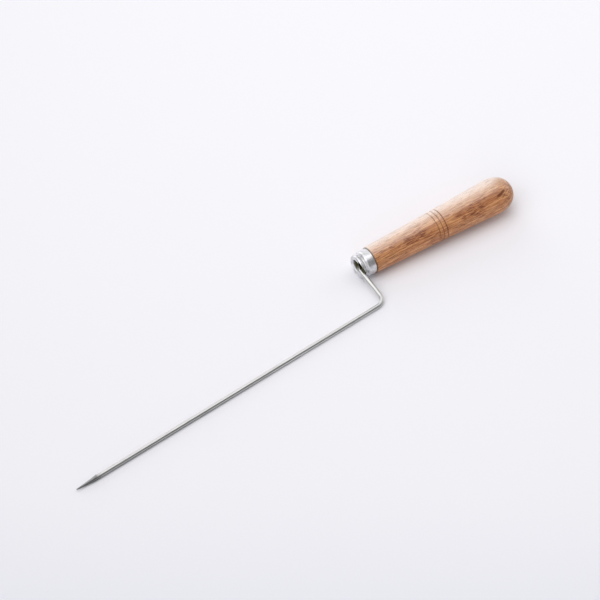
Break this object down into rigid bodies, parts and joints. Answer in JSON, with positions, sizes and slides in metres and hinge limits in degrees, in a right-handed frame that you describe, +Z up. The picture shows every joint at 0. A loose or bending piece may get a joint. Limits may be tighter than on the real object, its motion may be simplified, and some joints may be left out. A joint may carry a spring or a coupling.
{
  "type": "kebab skewer",
  "caption": "Cranked kebab skewer: a bent steel wire with a barbed point, a turned wooden handle and a pressed steel ferrule.",
  "frame": {"origin": "on the surface that the skewer lies on, under the middle of its overall box", "axes": "+X along the skewer towards the butt of the handle, +Y from the shank towards the handle's side, +Z up from the surface"},
  "size_m": [0.3679, 0.0642, 0.025],
  "materials": {
    "beech": "bare turned beech with fine grain along the handle, matt",
    "zinc_sheet": "zinc-coated pressed steel sheet, dull silver with soft handling marks",
    "steel_wire": "drawn steel wire, satin, with fine marks along it"
  },
  "bodies": {
    "root": {"handle": "beech", "ferrule": "zinc_sheet", "skewer_rod": "steel_wire"}
  },
  "joints": []
}
